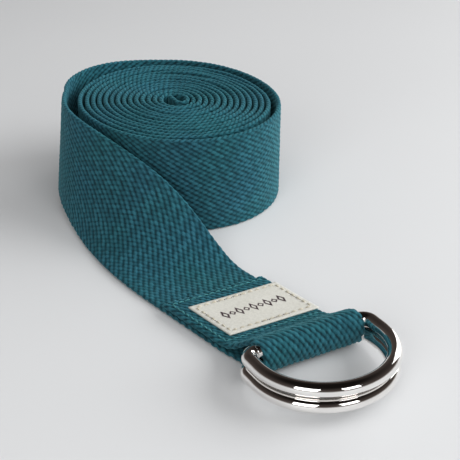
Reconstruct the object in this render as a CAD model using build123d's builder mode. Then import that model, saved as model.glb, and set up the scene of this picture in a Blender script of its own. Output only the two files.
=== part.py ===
"""A stretching strap: cotton webbing wound into a roll, with two D-rings sewn into its free end.

Millimetres. The origin is on the axis of the roll, at the level of the floor.
+X points from the roll towards the rings, and +Z is up.
"""

from build123d import *
import os
from math import atan2, cos, degrees, pi, radians, sin, sqrt, tan

os.makedirs("parts", exist_ok=True)

# Webbing
webbing_width = 38.0
webbing_thickness = 1.9
half_thickness = webbing_thickness / 2
half_width = webbing_width / 2

# Roll: tight turns, then one loose turn round them, all measured on the centre line of the webbing
tight_turns = 13
pitch = 2.4
core_radius = 5.6  # first full turn round the free inner end
core_bend = 1.8  # sharp bend where the straight inner end meets that turn
inner_end_start = -3.4  # X where the straight inner end is cut off
tight_radius = core_radius + tight_turns * pitch
loosening = 1.4  # extra room that the loose turn has opened by half way round
loose_front_x = tight_radius + pitch + loosening
loose_back_x = -41.5  # X where the loose turn becomes the tail

# Rings: two round-wire Ds, held one above the other by the loop
ring_wire = 4.6
ring_inside_width = 39.0
ring_depth = 29.9  # between the centre lines of the bar and the bow
bar_corner = 3.5
ring_rise = 4.0  # degrees that the rings rise from their bars to their bows
slip = 0.1  # room between a bar and the webbing round it
lower_bar_x = 129.2
lower_ring_y = -17.6
ring_step_x = 0.7  # how far the upper ring sits behind the lower one
ring_step_y = 0.8  # how far it sits to +Y of it
ring_step_z = 4.7
wire_radius = ring_wire / 2
half_bar = (ring_inside_width + ring_wire) / 2
lower_bar_z = webbing_thickness + slip + wire_radius
upper_bar_x = lower_bar_x - ring_step_x
upper_bar_z = lower_bar_z + ring_step_z

# Sewn end: two layers of webbing, drawn slightly askew by the sewing
sewn_start = 84.0
cut_end = 85.0  # where the folded-back layer is cut off
loop_start = 114.3
sewn_y = -19.6  # middle of the layers where the loop starts
layer_gap = 0.1
askew = 0.24  # sideways shift for each millimetre towards the rings
upper_layer_z = webbing_thickness + layer_gap
sewn_top = upper_layer_z + webbing_thickness
loop_width = 34.0
loop_y = -15.9
loop_slope = 40.0  # angle at which the loop drops from the rings to the sewn layers
crease_radius = 2.5

# Label and thread
label_start = 91.1
label_length = 20.2
label_width = 33.0
label_thickness = 0.5
label_seam_inset = 1.6
thread_width = 0.6
thread_height = 0.25
box_seam_inset = 2.0
box_seam_end = loop_start - 0.6

# Tail: points that the lower edge of the webbing passes over, and where it lifts and leans
tail_points = [
    (loose_back_x, 0.0),
    (-27.9, -37.4),
    (-3.9, -48.8),
    (23.6, -52.2),
]
tail_sections = 24
lift_height = 2.6
lift_start = -36.0
lift_end = 35.0
early_lean = 6.0  # degrees that the webbing leans by the time it leaves the roll
lean_start = -26.0
lean_end = 77.0
lean_delay = 1.45  # above 1, the webbing starts to lean over slowly


def centre_y(x):
    """Y of the middle of the sewn end at this X."""
    return sewn_y - askew * (loop_start - x)


def strip(start, end, left, right):
    """Outline of a piece of the sewn end, its edges askew; left and right are measured from the middle."""
    return [
        (start, centre_y(start) + right),
        (end, centre_y(end) + right),
        (end, centre_y(end) + left),
        (start, centre_y(start) + left),
    ]


# Roll: a straight inner end across the core, a sharp bend, then half circles that grow by half a pitch
bend_x = sqrt((core_radius - core_bend) ** 2 - core_bend**2)
bend_angle = degrees(atan2(core_bend, bend_x))
arcs = [
    ((bend_x, core_bend), core_bend, -90, 90 + bend_angle),
    ((0, 0), core_radius, bend_angle, 180 - bend_angle),
]
for turn in range(tight_turns):
    start_radius = core_radius + turn * pitch
    arcs.append(((pitch / 2, 0), start_radius + pitch / 2, 180, 180))
    arcs.append(((0, 0), start_radius + pitch, 0, 180))
arcs.append((((loose_front_x - tight_radius) / 2, 0), (loose_front_x + tight_radius) / 2, 180, 180))
arcs.append((((loose_front_x + loose_back_x) / 2, 0), (loose_front_x - loose_back_x) / 2, 0, 180))

with BuildPart() as webbing_roll:
    with BuildSketch():
        with BuildLine():
            for side in (half_thickness, -half_thickness):
                Line((inner_end_start, -side), (bend_x, -side))
                for centre, radius, start, swept in arcs:
                    CenterArc(centre, radius + side, start, swept)
            Line((inner_end_start, -half_thickness), (inner_end_start, half_thickness))
            Line((loose_back_x - half_thickness, 0), (loose_back_x + half_thickness, 0))
        make_face()
    extrude(amount=webbing_width)
webbing_roll.part.label = "webbing_roll"
export_step(webbing_roll.part, "parts/webbing_roll.step")

# Tail: leaves the outermost turn, opens out and leans over until it lies flat
tail_end = (sewn_start, centre_y(sewn_start) - half_width)
lower_edge = Edge.make_spline(
    [Vector(x, y, 0) for x, y in tail_points + [tail_end]],
    tangents=[Vector(0, -1, 0), Vector(1, askew, 0).normalized()],
    scale=False,
)


def share(x, start, end):
    """How far x is from start to end, from 0 to 1."""
    return min(max((x - start) / (end - start), 0), 1)


def lift(x):
    """Height of the lower edge: it rises off the floor and comes back to it."""
    return lift_height * (1 - cos(2 * pi * share(x, lift_start, lift_end))) / 2


def lean(x):
    """Angle of the webbing in radians: 0 where it stands on edge, a right angle where it lies flat."""
    early = radians(early_lean) * share(x, loose_back_x, lean_start)
    late = (1 - cos(pi * share(x, lean_start, lean_end) ** lean_delay)) / 2
    return early + (pi / 2 - early) * late


with BuildPart() as webbing_tail:
    for section in range(tail_sections + 1):
        edge_point = lower_edge.position_at(section / tail_sections)
        heading = lower_edge.tangent_at(section / tail_sections)
        squared = share(edge_point.X, lean_start, sewn_start)
        inward = Vector(-heading.Y * (1 - squared), heading.X, 0).normalized()
        forward = Vector(inward.Y, -inward.X, 0)
        angle = lean(edge_point.X)
        across = Vector(0, 0, 1) * cos(angle) + inward * sin(angle)
        height = lift(edge_point.X) + half_thickness * sin(angle)
        middle = edge_point + Vector(0, 0, height) + across * half_width
        with BuildSketch(Plane(origin=middle, x_dir=across, z_dir=forward)):
            Rectangle(webbing_width, webbing_thickness)
    loft()
webbing_tail.part.label = "webbing_tail"
export_step(webbing_tail.part, "parts/webbing_tail.step")

# Lower sewn layer, flat on the floor
with BuildPart() as webbing_underlay:
    with BuildSketch():
        with BuildLine():
            Polyline(*strip(sewn_start, loop_start, half_width, -half_width), close=True)
        make_face()
    extrude(amount=webbing_thickness)
webbing_underlay.part.label = "webbing_underlay"
export_step(webbing_underlay.part, "parts/webbing_underlay.step")

# Upper sewn layer: the end of the webbing, folded back over the lower layer
with BuildPart() as webbing_turnback:
    with BuildSketch(Plane.XY.offset(upper_layer_z)):
        with BuildLine():
            Polyline(*strip(cut_end, loop_start, half_width, -half_width), close=True)
        make_face()
    extrude(amount=webbing_thickness)
webbing_turnback.part.label = "webbing_turnback"
export_step(webbing_turnback.part, "parts/webbing_turnback.step")

# Loop: runs under both bars, up their front and back over them; this is its outer face, seen from the side
wrap = wire_radius + slip + webbing_thickness
lean_back = degrees(atan2(ring_step_x, ring_step_z))
leave = 90 + loop_slope
leave_x = upper_bar_x + wrap * cos(radians(leave))
leave_z = upper_bar_z + wrap * sin(radians(leave))
crease_x = leave_x - (leave_z - sewn_top) / tan(radians(loop_slope))

with BuildPart() as webbing_loop:
    with BuildSketch(Plane.XZ.offset(-loop_y)):
        with BuildLine():
            Line((loop_start, 0), (lower_bar_x, 0))
            front = CenterArc((lower_bar_x, lower_bar_z), wrap, -90, 90 + lean_back)
            over = CenterArc(
                (upper_bar_x, upper_bar_z), wrap, lean_back, 90 - lean_back + loop_slope
            )
            Line(front @ 1, over @ 0)
            FilletPolyline(
                over @ 1, (crease_x, sewn_top), (loop_start, sewn_top), radius=crease_radius
            )
            offset(amount=webbing_thickness, side=Side.LEFT, closed=True)
        make_face()
    extrude(amount=loop_width / 2, both=True)
webbing_loop.part.label = "webbing_loop"
export_step(webbing_loop.part, "parts/webbing_loop.step")

# Label, its right edge flush with the webbing's
label_left = half_width - label_width
with BuildPart() as label:
    with BuildSketch(Plane.XY.offset(sewn_top)):
        with BuildLine():
            Polyline(
                *strip(label_start, label_start + label_length, half_width, label_left), close=True
            )
        make_face()
    extrude(amount=label_thickness)
label.part.label = "label"
export_step(label.part, "parts/label.step")


def seam_outline(start, end, left, right, inset):
    """The closed line a seam follows, inset from the edges of a strip."""
    return strip(start + inset, end - inset, left - inset, right + inset)


# Label seam: one thread all round, near the label's edges
with BuildPart() as label_seam:
    with BuildSketch(Plane.XY.offset(sewn_top + label_thickness)):
        for inset, mode in (
            (label_seam_inset, Mode.ADD),
            (label_seam_inset + thread_width, Mode.SUBTRACT),
        ):
            with BuildLine():
                Polyline(
                    *seam_outline(
                        label_start, label_start + label_length, half_width, label_left, inset
                    ),
                    close=True,
                )
            make_face(mode=mode)
    extrude(amount=thread_height)
label_seam.part.label = "label_seam"
export_step(label_seam.part, "parts/label_seam.step")

# Box seam: joins the two layers, round three sides of the label
box_start = cut_end + box_seam_inset
box_left = box_seam_inset - half_width
with BuildPart() as box_seam:
    with BuildSketch(Plane.XY.offset(sewn_top)):
        rows = [
            (box_start, box_start + thread_width, half_width - box_seam_inset, box_left),
            (box_seam_end - thread_width, box_seam_end, half_width - box_seam_inset, box_left),
            (box_start, box_seam_end, box_left + thread_width, box_left),
        ]
        for start, end, left, right in rows:
            with BuildLine():
                Polyline(*strip(start, end, left, right), close=True)
            make_face()
    extrude(amount=thread_height)
box_seam.part.label = "box_seam"
export_step(box_seam.part, "parts/box_seam.step")


# Rings: each lies with its bar in the loop and its bow towards +X
def make_ring(bar_x, bar_y, bar_z):
    """A D of round wire, rising gently from its bar to its bow."""
    flat = Plane(Location((bar_x, bar_y, bar_z)) * Rot(Y=-ring_rise))
    bow_start = ring_depth - half_bar
    with BuildSketch(flat) as outline:
        with BuildLine():
            Polyline((bow_start, -half_bar), (0, -half_bar), (0, half_bar), (bow_start, half_bar))
            ThreePointArc((bow_start, half_bar), (ring_depth, 0), (bow_start, -half_bar))
        make_face()
        bar_ends = outline.sketch_local.vertices().group_by(Axis.X)[0]
        fillet(bar_ends, radius=bar_corner)
    path = outline.sketch.face().outer_wire()
    with BuildPart() as ring:
        with BuildSketch(Plane(origin=path @ 0, z_dir=path % 0)):
            Circle(wire_radius)
        sweep(path=path)
    return ring


ring_lower = make_ring(lower_bar_x, lower_ring_y, lower_bar_z)
ring_lower.part.label = "ring_lower"
export_step(ring_lower.part, "parts/ring_lower.step")

ring_upper = make_ring(upper_bar_x, lower_ring_y + ring_step_y, upper_bar_z)
ring_upper.part.label = "ring_upper"
export_step(ring_upper.part, "parts/ring_upper.step")
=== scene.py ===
"""The looks of the stretching strap: woven webbing, label, stitching and chromed rings.

Lengths are in metres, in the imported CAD's frame: +X points from the roll to the rings, and +Z is up.
"""

import math

import bpy
import numpy as np
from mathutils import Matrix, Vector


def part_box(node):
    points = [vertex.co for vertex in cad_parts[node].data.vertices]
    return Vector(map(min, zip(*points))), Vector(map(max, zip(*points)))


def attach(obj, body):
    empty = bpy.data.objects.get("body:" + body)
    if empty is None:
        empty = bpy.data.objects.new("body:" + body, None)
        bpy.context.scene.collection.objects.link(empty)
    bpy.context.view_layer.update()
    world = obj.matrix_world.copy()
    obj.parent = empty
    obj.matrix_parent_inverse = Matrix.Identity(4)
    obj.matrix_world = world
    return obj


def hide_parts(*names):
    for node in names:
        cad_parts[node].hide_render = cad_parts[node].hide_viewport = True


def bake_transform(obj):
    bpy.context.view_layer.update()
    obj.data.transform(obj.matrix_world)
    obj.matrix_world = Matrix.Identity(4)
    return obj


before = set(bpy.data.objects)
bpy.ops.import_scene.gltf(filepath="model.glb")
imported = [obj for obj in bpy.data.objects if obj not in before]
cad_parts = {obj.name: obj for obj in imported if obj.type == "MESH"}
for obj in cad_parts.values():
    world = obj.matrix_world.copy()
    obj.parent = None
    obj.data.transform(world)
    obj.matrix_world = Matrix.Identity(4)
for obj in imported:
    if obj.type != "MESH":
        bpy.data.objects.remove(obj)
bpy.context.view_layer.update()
MM = 0.001

# Places and sizes read from the CAD nodes
roll_low, roll_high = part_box("webbing_roll")
under_low, under_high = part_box("webbing_underlay")
top_low, top_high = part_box("webbing_turnback")
label_low, label_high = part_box("label")
lower_ring_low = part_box("ring_lower")[0]
upper_ring_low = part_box("ring_upper")[0]

width = roll_high.z - roll_low.z
thickness = under_high.z - under_low.z
half_thickness = thickness / 2
loose_back_x = roll_low.x + half_thickness
loose_front_x = roll_high.x - half_thickness
sewn_start = under_low.x
loop_start = under_high.x
cut_end = top_low.x
sewn_top = top_high.z
askew = (under_high.y - under_low.y - width) / (loop_start - sewn_start)
sewn_y = under_high.y - width / 2

# Roll: slightly oval, longest along OVAL_WAY, the top edge of its close turns wandering up and down
TIGHT_TURNS = 13
TIGHT_RADIUS = 36.8 * MM
CORE_RADIUS = 5.0 * MM
CORE_BEND = 2.1 * MM
CORE_SHIFT = -0.5 * MM
INNER_END = -3.6 * MM
OVAL = 0.06
OVAL_WAY = math.radians(17)
EDGE_DROP = 0.2 * MM
EDGE_WANDER = 0.45 * MM
EDGE_WANDER_LENGTH = 70 * MM
EDGE_WANDER_SEED = 1
pitch = (TIGHT_RADIUS - CORE_RADIUS) / TIGHT_TURNS

# Rises of the top edge of the outer turn and the tail, and the stretches along them where they come and go
OUTER_RISE = 0.6 * MM
OUTER_RISE_FROM, OUTER_RISE_TO = 170 * MM, 225 * MM
TAIL_RISE = 2.0 * MM
TAIL_RISE_FROM, TAIL_RISE_TO = 235 * MM, 268 * MM
RISES_FADE_FROM, RISES_FADE_TO = 278 * MM, 325 * MM

# Tail: points its lower edge passes over, and where it lifts and leans
TAIL_POINTS = np.array([(-27.9, -38.6), (-3.9, -49.2), (23.6, -52.6), (54, -51.9)]) * MM
LIFT_HEIGHT = 2.6 * MM
LIFT_START, LIFT_END = -36 * MM, 35 * MM
EARLY_LEAN = math.radians(6.5)
LEAN_START, LEAN_END = -26 * MM, 77 * MM
LEAN_DELAY = 1.45  # above 1, the webbing starts to lean over slowly
OVAL_END_X = 5 * MM  # where the tail's path has lost the roll's oval

# Loop round the rings' bars, and the stretch about loop_start where the webbing narrows into it
WIRE_RADIUS = 2.3 * MM
SLIP = 0.1 * MM
LOOP_WIDTH = 36.6 * MM
LOOP_SLOPE = math.radians(40)
LOOP_SOFTENING = 25  # how many points to either side a corner is averaged over
NARROWS_FROM, NARROWS_TO = -3 * MM, 10 * MM
lower_bar = np.array([lower_ring_low.x + WIRE_RADIUS, lower_ring_low.z + WIRE_RADIUS])
upper_bar = np.array([upper_ring_low.x + WIRE_RADIUS, upper_ring_low.z + WIRE_RADIUS])

# Rings
RING_DEPTH = 29.9 * MM
BAR_CORNER = 3.5 * MM
RING_RISE = math.radians(4)
RING_SIDES = 48
RING_STEP = 0.25 * MM

# Weave: each column of yarn floats up once in every FLOAT_LENGTH, half a float after its neighbour
COLUMNS = 38
FLOAT_LENGTH = 3.3 * MM
RELIEF = 0.42 * MM
FLOAT_HALF_WIDTH = 0.84 * MM
FLOAT_HALF_LENGTH = 1.3 * MM
LOWEST_FLOAT = 0.68
SLANT = 0.5
UNEVENNESS = 0.055
UNEVEN_LENGTH = 11.3 * MM
column_width = width / COLUMNS

# Rims of the webbing; along the upper one the weft turns back in bead-like bumps
RIM = 0.85 * MM
RIM_ANGLES = np.radians([62, 37, 12, -12, -37, -62])
SCALLOP = 0.4 * MM
BEAD_LENGTH = 2.2 * MM
BEAD_TWIST = 0.35
BEAD_FULLNESS = 0.6
BEAD_SEED = 7
LOWEST_BEAD = 0.75

# Fineness of the webbing's paths and meshes
PATH_STEP = 0.3 * MM
WOUND_STEP = 0.45 * MM
FREE_STEP = 0.42 * MM
PLACES_PER_COLUMN = 3
PLACES_UNDER_RIMS = 5
COARSE_INSET = 5 * MM
COARSE_PLACES = 4


# ---------------------------------------------------------------- shapes of paths


def share(x, start, end):
    """How far x is from start to end, from 0 to 1."""
    return np.clip((x - start) / (end - start), 0, 1)


def ease(x, start, end):
    """A smooth step from 0 at start to 1 at end."""
    t = share(x, start, end)
    return t * t * (3 - 2 * t)


def arc(centre, radius, start, sweep, step=PATH_STEP):
    """Points along an arc in a plane; angles in degrees."""
    count = max(int(abs(math.radians(sweep)) * radius / step), 3)
    angles = np.radians(start + sweep * np.arange(count) / count)
    return np.c_[centre[0] + radius * np.cos(angles), centre[1] + radius * np.sin(angles)]


def line(start, end, step=PATH_STEP):
    """Points along a straight line, its end left out."""
    start, end = np.array(start, float), np.array(end, float)
    count = max(int(np.linalg.norm(end - start) / step), 2)
    return start + (end - start) * (np.arange(count) / count)[:, None]


def smooth_through(points, first_way, last_way, steps=60):
    """A smooth curve through points, heading first_way at the first and last_way at the last."""
    gaps = np.linalg.norm(np.diff(points, axis=0), axis=1)
    count = len(points)
    system = np.eye(count)
    target = np.zeros((count, 2))
    target[0] = first_way
    target[-1] = last_way
    for i in range(1, count - 1):
        before, after = 1 / gaps[i - 1], 1 / gaps[i]
        system[i, i - 1 : i + 2] = before, 2 * (before + after), after
        target[i] = 3 * (
            (points[i] - points[i - 1]) * before**2 + (points[i + 1] - points[i]) * after**2
        )
    slopes = np.linalg.solve(system, target)
    curve = []
    t = (np.arange(steps) / steps)[:, None]
    for i, gap in enumerate(gaps):
        curve.append(
            points[i] * (2 * t**3 - 3 * t**2 + 1)
            + slopes[i] * gap * (t**3 - 2 * t**2 + t)
            + points[i + 1] * (3 * t**2 - 2 * t**3)
            + slopes[i + 1] * gap * (t**3 - t**2)
        )
    return np.vstack(curve + [points[-1:]])


def wander(along, wavelength, size, seed):
    """A slow uneven drift along the webbing: three waves that don't repeat together."""
    turns = 2 * np.pi * along / wavelength
    waves = [np.sin(ratio * turns + phase * seed) for ratio, phase in ((1, 1), (0.618, 2.3), (1.71, 4.1))]
    return size * sum(waves) / len(waves)


def distances(points):
    """How far along their path the points are."""
    return np.r_[0, np.cumsum(np.linalg.norm(np.diff(points, axis=0), axis=1))]


class Strip:
    """Webbing laid along a path: where its lower edge runs, the way of its width, and how wide it is."""

    def __init__(self, edge, across, widths):
        self.edge = edge
        self.across = across
        self.widths = widths

    def __add__(self, other):
        return Strip(
            np.vstack([self.edge, other.edge]),
            np.vstack([self.across, other.across]),
            np.r_[self.widths, other.widths],
        )

    def evenly(self, step):
        """The strip with its rows evenly apart along its middle, their distances, and its face's normals."""
        along = distances(self.edge + self.across * self.widths[:, None] / 2)
        rows = np.linspace(0, along[-1], int(along[-1] / step) + 1)

        def at(values):
            return np.array([np.interp(rows, along, column) for column in values.T]).T

        even = Strip(at(self.edge), at(self.across), np.interp(rows, along, self.widths))
        even.across /= np.linalg.norm(even.across, axis=1)[:, None]
        heading = np.gradient(even.edge + even.across * even.widths[:, None] / 2, axis=0)
        face = np.cross(heading, even.across)
        face /= np.linalg.norm(face, axis=1)[:, None]
        return even, rows, face


def standing(path, rise=0.0):
    """A strip on edge along a flat path; rise widens it upwards."""
    count = len(path)
    edge = np.c_[path, np.zeros(count)]
    return Strip(edge, np.tile([0.0, 0.0, 1.0], (count, 1)), width + np.broadcast_to(rise, count))


# ---------------------------------------------------------------- the weave


def uneven(column, row):
    """A steady scatter from 0 to 1, one value for each float; the odd factors only scramble the digits."""
    return np.modf(np.abs(np.sin(column * 12.9898 + row * 78.233)) * 437.585)[0]


def crest(across, along, back):
    """Height of the weave, 0 in the grooves to 1 on a float; the back's floats fill the front's gaps."""
    nearest = np.floor(across / column_width)
    height = np.zeros(np.broadcast_shapes(across.shape, along.shape))
    for column in (nearest - 1, nearest, nearest + 1):
        aside = across - (column + 0.5) * column_width
        drift = np.sin(2 * np.pi * along / UNEVEN_LENGTH + 2.4 * column) + np.sin(5.1 * column)
        floats = (along + SLANT * aside) / FLOAT_LENGTH + 0.5 * ((column + back) % 2) + UNEVENNESS * drift
        row = np.floor(floats)
        ahead = (floats - row - 0.5) * FLOAT_LENGTH
        dome = 1 - (aside / FLOAT_HALF_WIDTH) ** 2 - (ahead / FLOAT_HALF_LENGTH) ** 2
        size = LOWEST_FLOAT + (1 - LOWEST_FLOAT) * uneven(column, row)
        height = np.maximum(height, np.sqrt(np.clip(dome, 0, 1)) * size)
    return height


def beads(along, through):
    """Height of the weft where it turns round the webbing's upper edge, twisted like a cord."""
    turns = along / BEAD_LENGTH + BEAD_TWIST * through
    bead = np.floor(turns)
    size = LOWEST_BEAD + (1 - LOWEST_BEAD) * uneven(BEAD_SEED, bead)
    return np.cos(np.pi * (turns - bead - 0.5)) ** BEAD_FULLNESS * size


def section(face_places):
    """Round the cross-section: places across, how far each faces sideways, and places through, -1 to 1."""
    bulge = RIM * np.cos(RIM_ANGLES)
    across = np.r_[face_places, width - RIM + bulge, face_places[::-1], RIM - bulge]
    flat = np.ones(len(face_places))
    through = np.r_[flat, np.sin(RIM_ANGLES), -flat, -np.sin(RIM_ANGLES)]
    rim = np.r_[flat * 0, np.cos(RIM_ANGLES), flat * 0, -np.cos(RIM_ANGLES)]
    return across, rim, through


def weave_mesh(name, strip, face_places, step):
    """A closed mesh of webbing along a strip, with every bump of its weave, and the webbing's length."""
    strip, along, face = strip.evenly(step)
    across, rim, through = section(face_places)
    height = np.where(
        rim[None, :] > 0,
        beads(along[:, None], through[None, :]),
        crest(across[None, :], along[:, None], (through < 0)[None, :]),
    )
    scallop = SCALLOP * (1 - height) * rim[None, :]
    stretch = strip.widths[:, None] / width
    sideways = (across[None, :] - width / 2) * stretch + strip.widths[:, None] / 2 - scallop
    out = through[None, :] * (half_thickness - RELIEF * (1 - height))
    points = (
        strip.edge[:, None, :]
        + strip.across[:, None, :] * sideways[:, :, None]
        + face[:, None, :] * out[:, :, None]
    )
    rows, ring = height.shape
    corner = np.arange(rows - 1)[:, None] * ring + np.arange(ring)[None, :]
    beside = np.arange(rows - 1)[:, None] * ring + (np.arange(ring)[None, :] + 1) % ring
    quads = np.stack([corner, beside, beside + ring, corner + ring], axis=-1).reshape(-1, 4)
    caps = [list(range(ring))[::-1], list(range((rows - 1) * ring, rows * ring))]
    obj = new_mesh(name, points.reshape(-1, 3), quads.tolist() + caps)
    # The crest height also drives the material's painted shade in the grooves and painted highlight on the
    # bumps
    obj.data.attributes.new("crest", "FLOAT", "POINT").data.foreach_set(
        "value", height.reshape(-1).astype(np.float32)
    )
    return obj, along[-1]


def new_mesh(name, points, faces, smooth=True):
    """A mesh object in the scene."""
    mesh = bpy.data.meshes.new(name)
    mesh.from_pydata(np.asarray(points).tolist(), [], faces)
    mesh.polygons.foreach_set("use_smooth", [smooth] * len(mesh.polygons))
    mesh.update()
    obj = bpy.data.objects.new(name, mesh)
    bpy.context.scene.collection.objects.link(obj)
    return obj


# ---------------------------------------------------------------- webbing


def tight_path():
    """The close turns: a straight inner end, a sharp bend, then half circles that grow by half a pitch."""
    bend_y = CORE_SHIFT + CORE_BEND
    bend_x = math.sqrt((CORE_RADIUS - CORE_BEND) ** 2 - bend_y**2)
    bend_angle = math.degrees(math.atan2(bend_y, bend_x))
    path = [
        line((INNER_END, CORE_SHIFT), (bend_x, CORE_SHIFT)),
        arc((bend_x, bend_y), CORE_BEND, -90, 90 + bend_angle),
        arc((0, 0), CORE_RADIUS, bend_angle, 180 - bend_angle),
    ]
    for turn in range(TIGHT_TURNS):
        start_radius = CORE_RADIUS + turn * pitch
        path.append(arc((pitch / 2, 0), start_radius + pitch / 2, 180, 180))
        path.append(arc((0, 0), start_radius + pitch, 0, 180))
    return oval(np.vstack(path))


def oval(path, amount=1.0):
    """The path stretched along OVAL_WAY and squeezed across it."""
    way = np.arctan2(path[:, 1], path[:, 0])
    return path * (1 + OVAL * amount * np.cos(2 * (way - OVAL_WAY)))[:, None]


def loose_path():
    """The outer turn, from the last close turn round to the tail."""
    front = arc(((loose_front_x - TIGHT_RADIUS) / 2, 0), (loose_front_x + TIGHT_RADIUS) / 2, 180, 180)
    back = arc(((loose_front_x + loose_back_x) / 2, 0), (loose_front_x - loose_back_x) / 2, 0, 180)
    return oval(np.vstack([front, back]))


def centre_y(x):
    """Y of the middle of the sewn end at this X."""
    return sewn_y - askew * (loop_start - x)


def tail_strip():
    """From the outer turn, standing on edge, down to lying flat at the sewn end."""
    ends = np.array([(loose_back_x, 0), (sewn_start, centre_y(sewn_start) - width / 2)])
    points = np.vstack([ends[:1], TAIL_POINTS, ends[1:]])
    last_way = np.array([1, askew]) / math.hypot(1, askew)
    path = smooth_through(points, np.array([0, -1]), last_way)
    path = oval(path, 1 - ease(path[:, 0], loose_back_x, OVAL_END_X))
    x = path[:, 0]
    heading = np.gradient(path, axis=0)
    heading /= np.linalg.norm(heading, axis=1)[:, None]
    squared = share(x, LEAN_START, sewn_start)
    inward = np.c_[-heading[:, 1] * (1 - squared), heading[:, 0], np.zeros(len(x))]
    inward /= np.linalg.norm(inward, axis=1)[:, None]
    early = EARLY_LEAN * share(x, loose_back_x, LEAN_START)
    late = (1 - np.cos(np.pi * share(x, LEAN_START, LEAN_END) ** LEAN_DELAY)) / 2
    lean = early + (math.pi / 2 - early) * late
    lift = LIFT_HEIGHT * (1 - np.cos(2 * np.pi * share(x, LIFT_START, LIFT_END))) / 2
    up = np.array([0.0, 0.0, 1.0])
    across = up * np.cos(lean)[:, None] + inward * np.sin(lean)[:, None]
    edge = np.c_[path, lift + half_thickness * np.sin(lean)]
    return Strip(edge, across, np.full(len(x), width))


def sewn_strip():
    """The lower sewn layer, the loop round both bars, and the end folded back over the lower layer."""
    reach = WIRE_RADIUS + SLIP + half_thickness
    step_x, step_z = lower_bar - upper_bar
    lean_back = math.degrees(math.atan2(step_x, -step_z))
    leave = math.pi / 2 + LOOP_SLOPE
    off = upper_bar + reach * np.array([math.cos(leave), math.sin(leave)])
    folded_z = sewn_top - half_thickness
    crease_x = off[0] - (off[1] - folded_z) / math.tan(LOOP_SLOPE)
    side = np.vstack(
        [
            line((sewn_start, half_thickness), (lower_bar[0], half_thickness)),
            arc(lower_bar, reach, -90, 90 + lean_back),
            arc(upper_bar, reach, lean_back, 90 - lean_back + math.degrees(LOOP_SLOPE)),
            line(off, (crease_x, folded_z)),
            line((crease_x, folded_z), (cut_end, folded_z)),
            [(cut_end, folded_z)],
        ]
    )
    side = soften(side, LOOP_SOFTENING)
    x = side[:, 0]
    widths = width + (LOOP_WIDTH - width) * ease(x, loop_start + NARROWS_FROM, loop_start + NARROWS_TO)
    edge = np.c_[x, centre_y(x) - widths / 2, side[:, 1]]
    return Strip(edge, np.tile([0.0, 1.0, 0.0], (len(x), 1)), widths)


def soften(path, reach):
    """The path with its corners rounded by averaging neighbours; its ends stay."""
    padded = np.vstack([path[:1]] * reach + [path] + [path[-1:]] * reach)
    kernel = np.hanning(2 * reach + 1)
    kernel /= kernel.sum()
    soft = np.array([np.convolve(column, kernel, "valid") for column in padded.T]).T
    keep = ease(np.arange(len(path)), 0, reach) * ease(np.arange(len(path))[::-1], 0, reach)
    return path + (soft - path) * keep[:, None]


def make_wound_webbing(material):
    """The close turns. Only their edges show, so their faces are coarse away from the edges."""
    path = tight_path()
    rise = wander(distances(path), EDGE_WANDER_LENGTH, EDGE_WANDER, EDGE_WANDER_SEED) - EDGE_DROP
    fine = RIM + np.arange(PLACES_PER_COLUMN + 1) * column_width / PLACES_PER_COLUMN
    coarse = np.linspace(COARSE_INSET, width - COARSE_INSET, COARSE_PLACES)
    places = np.r_[fine, coarse, width - fine[::-1]]
    obj, length = weave_mesh("webbing_wound", standing(path, rise), places, WOUND_STEP)
    obj.data.materials.append(material)
    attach(obj, "wound_strap")
    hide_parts("webbing_roll")


def make_free_webbing(material):
    """The outer turn, the tail and the sewn end, in one length that bends where the sewn end lifts."""
    strip = standing(loose_path()) + tail_strip() + sewn_strip()
    along = distances(strip.edge)
    outer_rise = OUTER_RISE * ease(along, OUTER_RISE_FROM, OUTER_RISE_TO)
    tail_rise = TAIL_RISE * ease(along, TAIL_RISE_FROM, TAIL_RISE_TO)
    remaining = 1 - ease(along, RISES_FADE_FROM, RISES_FADE_TO)
    strip.widths = strip.widths + (outer_rise + tail_rise) * remaining
    places = np.linspace(RIM, width - RIM, PLACES_PER_COLUMN * COLUMNS - PLACES_UNDER_RIMS)
    obj, length = weave_mesh("webbing_free", strip, places, FREE_STEP)
    obj.data.materials.append(material)
    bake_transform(obj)
    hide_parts("webbing_tail", "webbing_underlay", "webbing_loop", "webbing_turnback")
    return obj


# ---------------------------------------------------------------- label and stitching

# Label: a grid of points, drawn down along the seam, rounded at its edges and slightly wavy
LABEL_WIDTH = 33 * MM
LABEL_GRID = (45, 71)
LABEL_SINK = 0.1 * MM
SEAM_DRAW = 0.1 * MM
SEAM_DRAW_WIDTH = 0.9 * MM
EDGE_ROUNDING = 0.2 * MM
EDGE_ROUNDING_WIDTH = 0.25 * MM
LABEL_WAVE = 0.05 * MM
LABEL_WAVE_LENGTHS = (3.1 * MM, 5.3 * MM)
label_right = width / 2
label_left = label_right - LABEL_WIDTH

# Stitching: heights are measured up from the surface it lies on, arch and sink in thread radii
LABEL_SEAM_INSET = 1.6 * MM
LABEL_STITCH_SPACING = 2.6 * MM
LABEL_STITCH_GAP = 0.8 * MM
LABEL_STITCH_RADIUS = 0.28 * MM
LABEL_STITCH_HEIGHT = -0.05 * MM
BOX_SEAM_INSET = 2.0 * MM
BOX_SEAM_END_INSET = 0.9 * MM
BOX_STITCH_SPACING = 2.3 * MM
BOX_STITCH_GAP = 0.3 * MM
BOX_STITCH_RADIUS = 0.27 * MM
BOX_STITCH_HEIGHT = 0.02 * MM
STITCH_ARCH = 1.3
STITCH_SINK = 0.5
STITCH_THINNEST = 0.3
STITCH_CUT = 0.04
HOLE_RADIUS = 0.3 * MM
HOLE_HEIGHT = -0.12 * MM
HOLE_SIDES = 10

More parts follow.
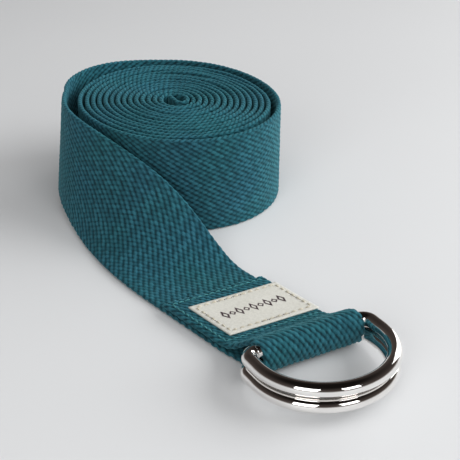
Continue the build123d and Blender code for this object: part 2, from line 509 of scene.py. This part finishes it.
# Print: hollow lozenges, large and small by turns
LOZENGES_EACH_WAY = 4
LOZENGE_SPACING = 2.6 * MM
LOZENGE_HALF_WIDTH = 1.2 * MM
LARGE_HALF_HEIGHT = 2.5 * MM
SMALL_HALF_HEIGHT = 1.3 * MM
LOZENGE_HOLLOW = 0.5
PRINT_HEIGHT = 0.06 * MM


def on_sewn_end(x, offset, z):
    """A point on the sewn end, offset to +Y of its middle."""
    return np.array([x, centre_y(x) + offset, z])


def make_label(material):
    """A soft patch, its surface drawn down along its seam."""
    rows, columns = LABEL_GRID
    x = np.linspace(label_low.x, label_high.x, rows)[:, None] + np.zeros(columns)[None, :]
    offset = np.linspace(label_left, label_right, columns)[None, :] + np.zeros(rows)[:, None]
    from_edge = np.minimum.reduce(
        [x - label_low.x, label_high.x - x, offset - label_left, label_right - offset]
    )
    seam = SEAM_DRAW * np.exp(-(((from_edge - LABEL_SEAM_INSET) / SEAM_DRAW_WIDTH) ** 2))
    rounding = EDGE_ROUNDING * np.exp(-from_edge / EDGE_ROUNDING_WIDTH)
    waves = LABEL_WAVE * np.sin(x / LABEL_WAVE_LENGTHS[0] + offset / LABEL_WAVE_LENGTHS[1])
    z = label_high.z + waves - seam - rounding
    y = centre_y(x) + offset
    top = np.stack([x, y, z], axis=-1).reshape(-1, 3)
    bottom = top.copy()
    bottom[:, 2] = label_low.z - LABEL_SINK
    points = np.vstack([top, bottom])
    index = np.arange(rows * columns).reshape(rows, columns)
    corners = [index[:-1, :-1], index[1:, :-1], index[1:, 1:], index[:-1, 1:]]
    quads = np.stack(corners, axis=-1).reshape(-1, 4)
    border = np.r_[index[:-1, 0], index[-1, :-1], index[:0:-1, -1], index[0, :0:-1]]
    after = np.roll(border, -1)
    down = rows * columns
    sides = np.stack([border, border + down, after + down, after], axis=-1)
    faces = quads.tolist() + (quads[:, ::-1] + down).tolist() + sides.tolist()
    obj = new_mesh("label_patch", points, faces)
    obj.data.materials.append(material)
    return obj


def seam_corners(start, end, left, right, z):
    """The corners of a seam that follows the edges of a part of the sewn end."""
    return [
        on_sewn_end(start, left, z),
        on_sewn_end(start, right, z),
        on_sewn_end(end, right, z),
        on_sewn_end(end, left, z),
    ]


def stitches_between(start, end, spacing, gap):
    """Start and end of each stitch on a line, the spacing adjusted so that they fill it."""
    length = np.linalg.norm(end - start)
    count = max(int(round(length / spacing)), 1)
    stitch = (end - start) / count
    half_gap = (end - start) / length * gap / 2
    return [(start + i * stitch + half_gap, start + (i + 1) * stitch - half_gap) for i in range(count)]


def thread_mesh(name, stitches, radius, material):
    """One mesh of short threads, each arched up from the two holes it goes down into."""
    points, faces = [], []
    sides, stations = 8, 7
    angles = 2 * np.pi * np.arange(sides) / sides
    for start, end in stitches:
        way = (end - start) / np.linalg.norm(end - start)
        left = np.cross([0, 0, 1.0], way)
        for i, t in enumerate(np.linspace(0, 1, stations)):
            fullness = math.sin(math.pi * (STITCH_CUT + (1 - 2 * STITCH_CUT) * t))
            taper = math.sqrt(max(fullness, STITCH_THINNEST))
            height = radius * (STITCH_ARCH * math.sin(math.pi * t) - STITCH_SINK)
            middle = start + (end - start) * t + np.array([0, 0, height])
            ring = (
                middle
                + left * (radius * taper * np.cos(angles))[:, None]
                + np.array([0, 0, 1.0]) * (radius * taper * np.sin(angles))[:, None]
            )
            base = len(points)
            points.extend(ring)
            if i:
                for k in range(sides):
                    after = (k + 1) % sides
                    faces.append([base - sides + k, base - sides + after, base + after, base + k])
        faces.append(list(range(base, base + sides)))
        faces.append(list(range(base - (stations - 1) * sides, base - (stations - 2) * sides))[::-1])
    obj = new_mesh(name, points, faces)
    obj.data.materials.append(material)
    return obj


def make_label_seam(material):
    """Dashed stitches all round the label."""
    corners = seam_corners(
        label_low.x + LABEL_SEAM_INSET,
        label_high.x - LABEL_SEAM_INSET,
        label_left + LABEL_SEAM_INSET,
        label_right - LABEL_SEAM_INSET,
        label_high.z + LABEL_STITCH_HEIGHT,
    )
    stitches = []
    for start, end in zip(corners, corners[1:] + corners[:1]):
        stitches += stitches_between(start, end, LABEL_STITCH_SPACING, LABEL_STITCH_GAP)
    return thread_mesh("label_stitches", stitches, LABEL_STITCH_RADIUS, material), stitches


def make_holes(stitches, material):
    """Dark discs at the stitches' ends, painted shade standing in for the needle holes."""
    points, faces = [], []
    angles = 2 * np.pi * np.arange(HOLE_SIDES) / HOLE_SIDES
    for pair in stitches:
        for centre in pair:
            base = len(points)
            ring = centre + HOLE_RADIUS * np.c_[np.cos(angles), np.sin(angles), 0 * angles]
            ring[:, 2] = label_high.z + HOLE_HEIGHT
            points.extend(ring)
            faces.append(list(range(base, base + HOLE_SIDES)))
    obj = new_mesh("label_holes", points, faces)
    obj.data.materials.append(material)
    return obj


def make_box_seam(material):
    """Two rows across the sewn end and one along its left edge, through both layers."""
    start = cut_end + BOX_SEAM_INSET
    end = loop_start - BOX_SEAM_END_INSET
    left = BOX_SEAM_INSET - width / 2
    right = width / 2 - BOX_SEAM_INSET
    start_left, start_right, end_right, end_left = seam_corners(
        start, end, left, right, sewn_top + BOX_STITCH_HEIGHT
    )
    stitches = []
    for first, last in ((start_left, start_right), (end_left, end_right), (start_left, end_left)):
        stitches += stitches_between(first, last, BOX_STITCH_SPACING, BOX_STITCH_GAP)
    return thread_mesh("box_stitches", stitches, BOX_STITCH_RADIUS, material)


def make_motif(material):
    """A plain row of lozenges printed along the label."""
    points, faces = [], []
    middle_x = (label_low.x + label_high.x) / 2
    middle_offset = (label_left + label_right) / 2
    z = label_high.z + PRINT_HEIGHT
    for i in range(-LOZENGES_EACH_WAY, LOZENGES_EACH_WAY + 1):
        half_height = LARGE_HALF_HEIGHT if i % 2 == 0 else SMALL_HALF_HEIGHT
        for size in (LOZENGE_HOLLOW, 1.0):
            for up, aside in ((-1, 0), (0, 1), (1, 0), (0, -1)):
                x = middle_x + up * half_height * size
                offset = middle_offset + i * LOZENGE_SPACING + aside * LOZENGE_HALF_WIDTH * size
                points.append(on_sewn_end(x, offset, z))
        base = len(points) - 8
        for k in range(4):
            after = (k + 1) % 4
            faces.append([base + k, base + after, base + 4 + after, base + 4 + k])
    obj = new_mesh("label_motif", points, faces, smooth=False)
    obj.data.materials.append(material)
    return obj


# ---------------------------------------------------------------- rings


def make_ring(name, node, material):
    """A D of round wire where its CAD node lies, evenly meshed so that reflections run smoothly along it."""
    low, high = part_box(node)
    bar_x, bar_z = low.x + WIRE_RADIUS, low.z + WIRE_RADIUS
    half_bar = (high.y - low.y) / 2 - WIRE_RADIUS
    corner = half_bar - BAR_CORNER
    bow_start = RING_DEPTH - half_bar
    outline = np.vstack(
        [
            line((0, -corner), (0, corner), RING_STEP)[::-1],
            arc((BAR_CORNER, -corner), BAR_CORNER, 180, 90, RING_STEP),
            line((BAR_CORNER, -half_bar), (bow_start, -half_bar), RING_STEP),
            arc((bow_start, 0), half_bar, -90, 180, RING_STEP),
            line((bow_start, half_bar), (BAR_CORNER, half_bar), RING_STEP),
            arc((BAR_CORNER, corner), BAR_CORNER, 90, 90, RING_STEP),
        ]
    )
    reach, aside = outline.T
    middle_y = (low.y + high.y) / 2
    path = np.c_[bar_x + reach * math.cos(RING_RISE), middle_y + aside, bar_z + reach * math.sin(RING_RISE)]
    heading = np.roll(path, -1, axis=0) - np.roll(path, 1, axis=0)
    heading /= np.linalg.norm(heading, axis=1)[:, None]
    up = np.array([-math.sin(RING_RISE), 0, math.cos(RING_RISE)])
    side = np.cross(heading, up)
    angles = 2 * np.pi * np.arange(RING_SIDES) / RING_SIDES
    points = (
        path[:, None, :]
        + WIRE_RADIUS * np.cos(angles)[None, :, None] * side[:, None, :]
        + WIRE_RADIUS * np.sin(angles)[None, :, None] * up
    )
    here = np.arange(len(path) * RING_SIDES).reshape(-1, RING_SIDES)
    beside = np.roll(here, -1, axis=1)
    quads = np.stack([here, beside, np.roll(beside, -1, axis=0), np.roll(here, -1, axis=0)], axis=-1)
    ring = new_mesh(name, points.reshape(-1, 3), quads.reshape(-1, 4).tolist())
    ring.data.materials.append(material)
    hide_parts(node)
    return ring


# ---------------------------------------------------------------- materials

# Weave colours by crest height: the groove teal is painted shade, the crest teal a painted highlight
GROOVE_PAINTED_SHADE_TEAL = (0.002, 0.019, 0.027)
MIDDLE_TEAL = (0.005, 0.050, 0.068)
CREST_PAINTED_HIGHLIGHT_TEAL = (0.020, 0.116, 0.152)
SHEEN_TEAL = (0.25, 0.75, 0.85, 1)
TEAL_THREAD = ((0.02, 0.13, 0.15), (0.06, 0.24, 0.26))
BEIGE_THREAD = ((0.42, 0.38, 0.30), (0.62, 0.58, 0.48))

# Noise cells to a metre
COTTON_PATCHES = 45
COTTON_FIBRES = 2600
TAPE_PATCHES = 120
TAPE_GRAIN = 1500
THREAD_STRANDS = 1800
THREAD_FUZZ = 5000
PRINT_WEAR = 900
CHROME_TINT = 60
CHROME_SMUDGES = 140
FLOOR_CLOUDS = 3

# Depths of the small relief
COTTON_RELIEF = 0.15 * MM
TAPE_RELIEF = 0.06 * MM
THREAD_RELIEF = 0.05 * MM


def new_material(name, roughness):
    """A material, its node tree, and its Principled shader."""
    material = bpy.data.materials.new(name)
    material.use_nodes = True
    shader = material.node_tree.nodes["Principled BSDF"]
    shader.inputs["Roughness"].default_value = roughness
    return material, material.node_tree, shader


def add_noise(tree, scale, detail=3.0):
    """A noise value over the object's own coordinates, in scale cells to a metre."""
    place = tree.nodes.new("ShaderNodeTexCoord")
    noise = tree.nodes.new("ShaderNodeTexNoise")
    noise.inputs["Scale"].default_value = scale
    noise.inputs["Detail"].default_value = detail
    tree.links.new(place.outputs["Object"], noise.inputs["Vector"])
    return noise.outputs["Fac"]


def add_ramp(tree, value, stops):
    """A colour that changes with a value; stops are (value, colour)."""
    ramp = tree.nodes.new("ShaderNodeValToRGB")
    elements = ramp.color_ramp.elements
    while len(elements) < len(stops):
        elements.new(0.5)
    for element, (place, colour) in zip(elements, stops):
        element.position = place
        element.color = (*colour, 1)
    tree.links.new(value, ramp.inputs["Fac"])
    return ramp.outputs["Color"]


def add_mix(tree, blend_type, factor, first, second):
    """Two colours mixed by a factor."""
    mix = tree.nodes.new("ShaderNodeMix")
    mix.data_type = "RGBA"
    mix.blend_type = blend_type
    mix.inputs["Factor"].default_value = factor
    colour_inputs = [socket for socket in mix.inputs if socket.type == "RGBA"]
    tree.links.new(first, colour_inputs[0])
    tree.links.new(second, colour_inputs[1])
    return [socket for socket in mix.outputs if socket.type == "RGBA"][0]


def add_bump(tree, shader, value, depth, strength):
    """Small relief from a value."""
    bump = tree.nodes.new("ShaderNodeBump")
    bump.inputs["Distance"].default_value = depth
    bump.inputs["Strength"].default_value = strength
    tree.links.new(value, bump.inputs["Height"])
    tree.links.new(bump.outputs["Normal"], shader.inputs["Normal"])


def webbing_material():
    """Dark teal cotton, fuzzy, with painted shade darkening the grooves of the weave and a painted highlight
    lightening its bumps.
    """
    material, tree, shader = new_material("teal_cotton", roughness=0.8)
    crests = tree.nodes.new("ShaderNodeAttribute")
    crests.attribute_name = "crest"
    # Painted shade in the weave's grooves and painted highlight on its bumps, set by crest height
    painted_weave_shading = add_ramp(
        tree, crests.outputs["Fac"], [(0.0, GROOVE_PAINTED_SHADE_TEAL), (0.45, MIDDLE_TEAL), (0.9, CREST_PAINTED_HIGHLIGHT_TEAL)]
    )
    patches = add_ramp(
        tree, add_noise(tree, COTTON_PATCHES), [(0.35, (0.92, 1.02, 0.97)), (0.65, (1.06, 0.97, 1.04))]
    )
    fibres = add_ramp(
        tree, add_noise(tree, COTTON_FIBRES, detail=2), [(0.3, (0.75, 0.78, 0.8)), (0.72, (1.3, 1.26, 1.22))]
    )
    colour = add_mix(tree, "MULTIPLY", 1.0, painted_weave_shading, patches)
    colour = add_mix(tree, "MULTIPLY", 0.8, colour, fibres)
    tree.links.new(colour, shader.inputs["Base Color"])
    shader.inputs["Specular IOR Level"].default_value = 0.25
    shader.inputs["Sheen Weight"].default_value = 0.3
    shader.inputs["Sheen Roughness"].default_value = 0.45
    shader.inputs["Sheen Tint"].default_value = SHEEN_TEAL
    add_bump(tree, shader, add_noise(tree, COTTON_FIBRES), COTTON_RELIEF, strength=0.6)
    return material


def label_material():
    """Cream tape with a fine grain and slight soiling."""
    material, tree, shader = new_material("cream_tape", roughness=0.7)
    grain = add_ramp(
        tree,
        add_noise(tree, TAPE_GRAIN, detail=2),
        [(0.3, (0.56, 0.555, 0.51)), (0.7, (0.63, 0.625, 0.575))],
    )
    patches = add_ramp(
        tree, add_noise(tree, TAPE_PATCHES), [(0.35, (0.97, 0.965, 0.95)), (0.7, (1.0, 1.0, 1.0))]
    )
    tree.links.new(add_mix(tree, "MULTIPLY", 1.0, grain, patches), shader.inputs["Base Color"])
    add_bump(tree, shader, add_noise(tree, TAPE_GRAIN), TAPE_RELIEF, strength=0.5)
    return material


def thread_material(name, dark, light):
    """Twisted thread, its colour varying from strand to strand."""
    material, tree, shader = new_material(name, roughness=0.75)
    strands = add_ramp(tree, add_noise(tree, THREAD_STRANDS, detail=2), [(0.3, dark), (0.7, light)])
    tree.links.new(strands, shader.inputs["Base Color"])
    add_bump(tree, shader, add_noise(tree, THREAD_FUZZ, detail=2), THREAD_RELIEF, strength=0.5)
    return material


def print_and_hole_shade_material():
    """Dark print, slightly worn; the needle-hole discs use the same dark colour as painted shade."""
    material, tree, shader = new_material("dark_print_and_hole_shade", roughness=0.6)
    worn = add_ramp(
        tree, add_noise(tree, PRINT_WEAR), [(0.35, (0.045, 0.028, 0.035)), (0.75, (0.11, 0.08, 0.085))]
    )
    tree.links.new(worn, shader.inputs["Base Color"])
    return material


def chrome_material():
    """Polished chrome with faint smudges."""
    material, tree, shader = new_material("chrome", roughness=0.06)
    shader.inputs["Metallic"].default_value = 1.0
    tint = add_ramp(
        tree, add_noise(tree, CHROME_TINT), [(0.3, (0.86, 0.84, 0.82)), (0.7, (0.93, 0.91, 0.89))]
    )
    tree.links.new(tint, shader.inputs["Base Color"])
    smudges = add_ramp(
        tree, add_noise(tree, CHROME_SMUDGES, detail=4), [(0.4, (0.035,) * 3), (0.75, (0.09,) * 3)]
    )
    tree.links.new(smudges, shader.inputs["Roughness"])
    return material


# ---------------------------------------------------------------- the object

teal = webbing_material()
make_wound_webbing(teal)
free_webbing = make_free_webbing(teal)

label = make_label(label_material())
label_stitches, stitch_places = make_label_seam(thread_material("beige_thread", *BEIGE_THREAD))
# Needle-hole discs in the print colour: painted shade in the holes
holes = make_holes(stitch_places, print_and_hole_shade_material())
motif = make_motif(print_and_hole_shade_material())
box_stitches = make_box_seam(thread_material("teal_thread", *TEAL_THREAD))
for piece, node, slot in (
    (label, "label", "label"),
    (label_stitches, "label_seam", "label_thread"),
    (box_stitches, "box_seam", "seam_thread"),
):
    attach(piece, "sewn_end")
    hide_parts(node)
for piece in (holes, motif):
    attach(piece, "sewn_end")

chrome = chrome_material()
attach(make_ring("ring_lower_wire", "ring_lower", chrome), "lower_ring")
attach(make_ring("ring_upper_wire", "ring_upper", chrome), "upper_ring")

# ---------------------------------------------------------------- floor, light and camera

CAMERA_PLACE = (0.3385, -0.1552, 0.1876)
CAMERA_AZIMUTH = math.radians(62)
CAMERA_PITCH = math.radians(29.49)
CAMERA_LENS = 78.26
CAMERA_SENSOR = 36
OBJECT_MIDDLE = np.array([0.06, -0.01, 0.01])
FLOOR_REACH = 8.0
FLOOR_DROP = 0.02 * MM
SKY_ANGLE = math.radians(150)
SKY_TILT = math.radians(20)
WORLD_STRENGTH = 0.75
PALE_HORIZON = (0.75, 0.75, 0.75)
WALL_TOP = (0.5, 0.48, 0.47)
DARK_UPPER_WALL = (0.1, 0.08, 0.072)
DARK_CEILING = (0.01, 0.008, 0.007)


def make_floor():
    """A plain pale floor."""
    corners = [(FLOOR_REACH * x, FLOOR_REACH * y, 0) for x, y in ((-1, -1), (1, -1), (1, 1), (-1, 1))]
    floor = new_mesh("floor", corners, [[0, 1, 2, 3]], smooth=False)
    floor.location.z = -FLOOR_DROP
    material, tree, shader = new_material("pale_floor", roughness=0.55)
    tint = add_ramp(
        tree, add_noise(tree, FLOOR_CLOUDS), [(0.3, (0.64, 0.65, 0.66)), (0.7, (0.67, 0.68, 0.69))]
    )
    tree.links.new(tint, shader.inputs["Base Color"])
    floor.data.materials.append(material)


def add_area_light(name, place, size, power, mirrored):
    """A soft square lamp aimed at the object; the chrome reflects it only if it is mirrored."""
    data = bpy.data.lights.new(name, "AREA")
    data.shape = "SQUARE"
    data.size = size
    data.energy = power
    lamp = bpy.data.objects.new(name, data)
    lamp.location = place
    way = OBJECT_MIDDLE - np.array(place)
    lamp.rotation_euler = (math.atan2(math.hypot(way[0], way[1]), -way[2]), 0, math.atan2(-way[0], way[1]))
    lamp.visible_glossy = mirrored
    lamp.visible_camera = False
    bpy.context.scene.collection.objects.link(lamp)


def add_sky_light(power):
    """Even light from a wide sky, so that the floor stays pale all the way out."""
    data = bpy.data.lights.new("sky", "SUN")
    data.angle = SKY_ANGLE
    data.energy = power
    lamp = bpy.data.objects.new("sky", data)
    lamp.rotation_euler = (-SKY_TILT, SKY_TILT, 0)
    lamp.visible_glossy = False
    bpy.context.scene.collection.objects.link(lamp)


def make_world():
    """A room that is pale near the floor and dark above, for the chrome to reflect."""
    world = bpy.data.worlds.new("studio")
    bpy.context.scene.world = world
    world.use_nodes = True
    tree = world.node_tree
    place = tree.nodes.new("ShaderNodeTexCoord")
    split = tree.nodes.new("ShaderNodeSeparateXYZ")
    tree.links.new(place.outputs["Generated"], split.inputs["Vector"])
    room = add_ramp(
        tree,
        split.outputs["Z"],
        [(0.0, PALE_HORIZON), (0.12, WALL_TOP), (0.22, DARK_UPPER_WALL), (0.9, DARK_CEILING)],
    )
    tree.links.new(room, tree.nodes["Background"].inputs["Color"])
    tree.nodes["Background"].inputs["Strength"].default_value = WORLD_STRENGTH


def make_camera():
    """The photograph's view."""
    data = bpy.data.cameras.new("camera")
    data.lens = CAMERA_LENS
    data.sensor_width = CAMERA_SENSOR
    camera = bpy.data.objects.new("camera", data)
    camera.location = CAMERA_PLACE
    camera.rotation_euler = (math.pi / 2 - CAMERA_PITCH, 0, CAMERA_AZIMUTH)
    bpy.context.scene.collection.objects.link(camera)
    bpy.context.scene.camera = camera


make_floor()
make_world()
add_sky_light(0.9)
add_area_light("key", (0.5, 0.92, 0.5), size=0.9, power=14.5, mirrored=False)
add_area_light("overhead", (0.22, -0.05, 0.7), size=0.8, power=1.3, mirrored=False)
add_area_light("window_left", (0.72, -0.82, 0.52), size=0.6, power=4.2, mirrored=True)
add_area_light("window_right", (1.0, 0.12, 0.5), size=0.4, power=1.8, mirrored=True)
add_area_light("window_back", (-0.35, 1.14, 0.4), size=0.75, power=4.0, mirrored=True)
make_camera()
bpy.context.scene.view_settings.view_transform = "Standard"
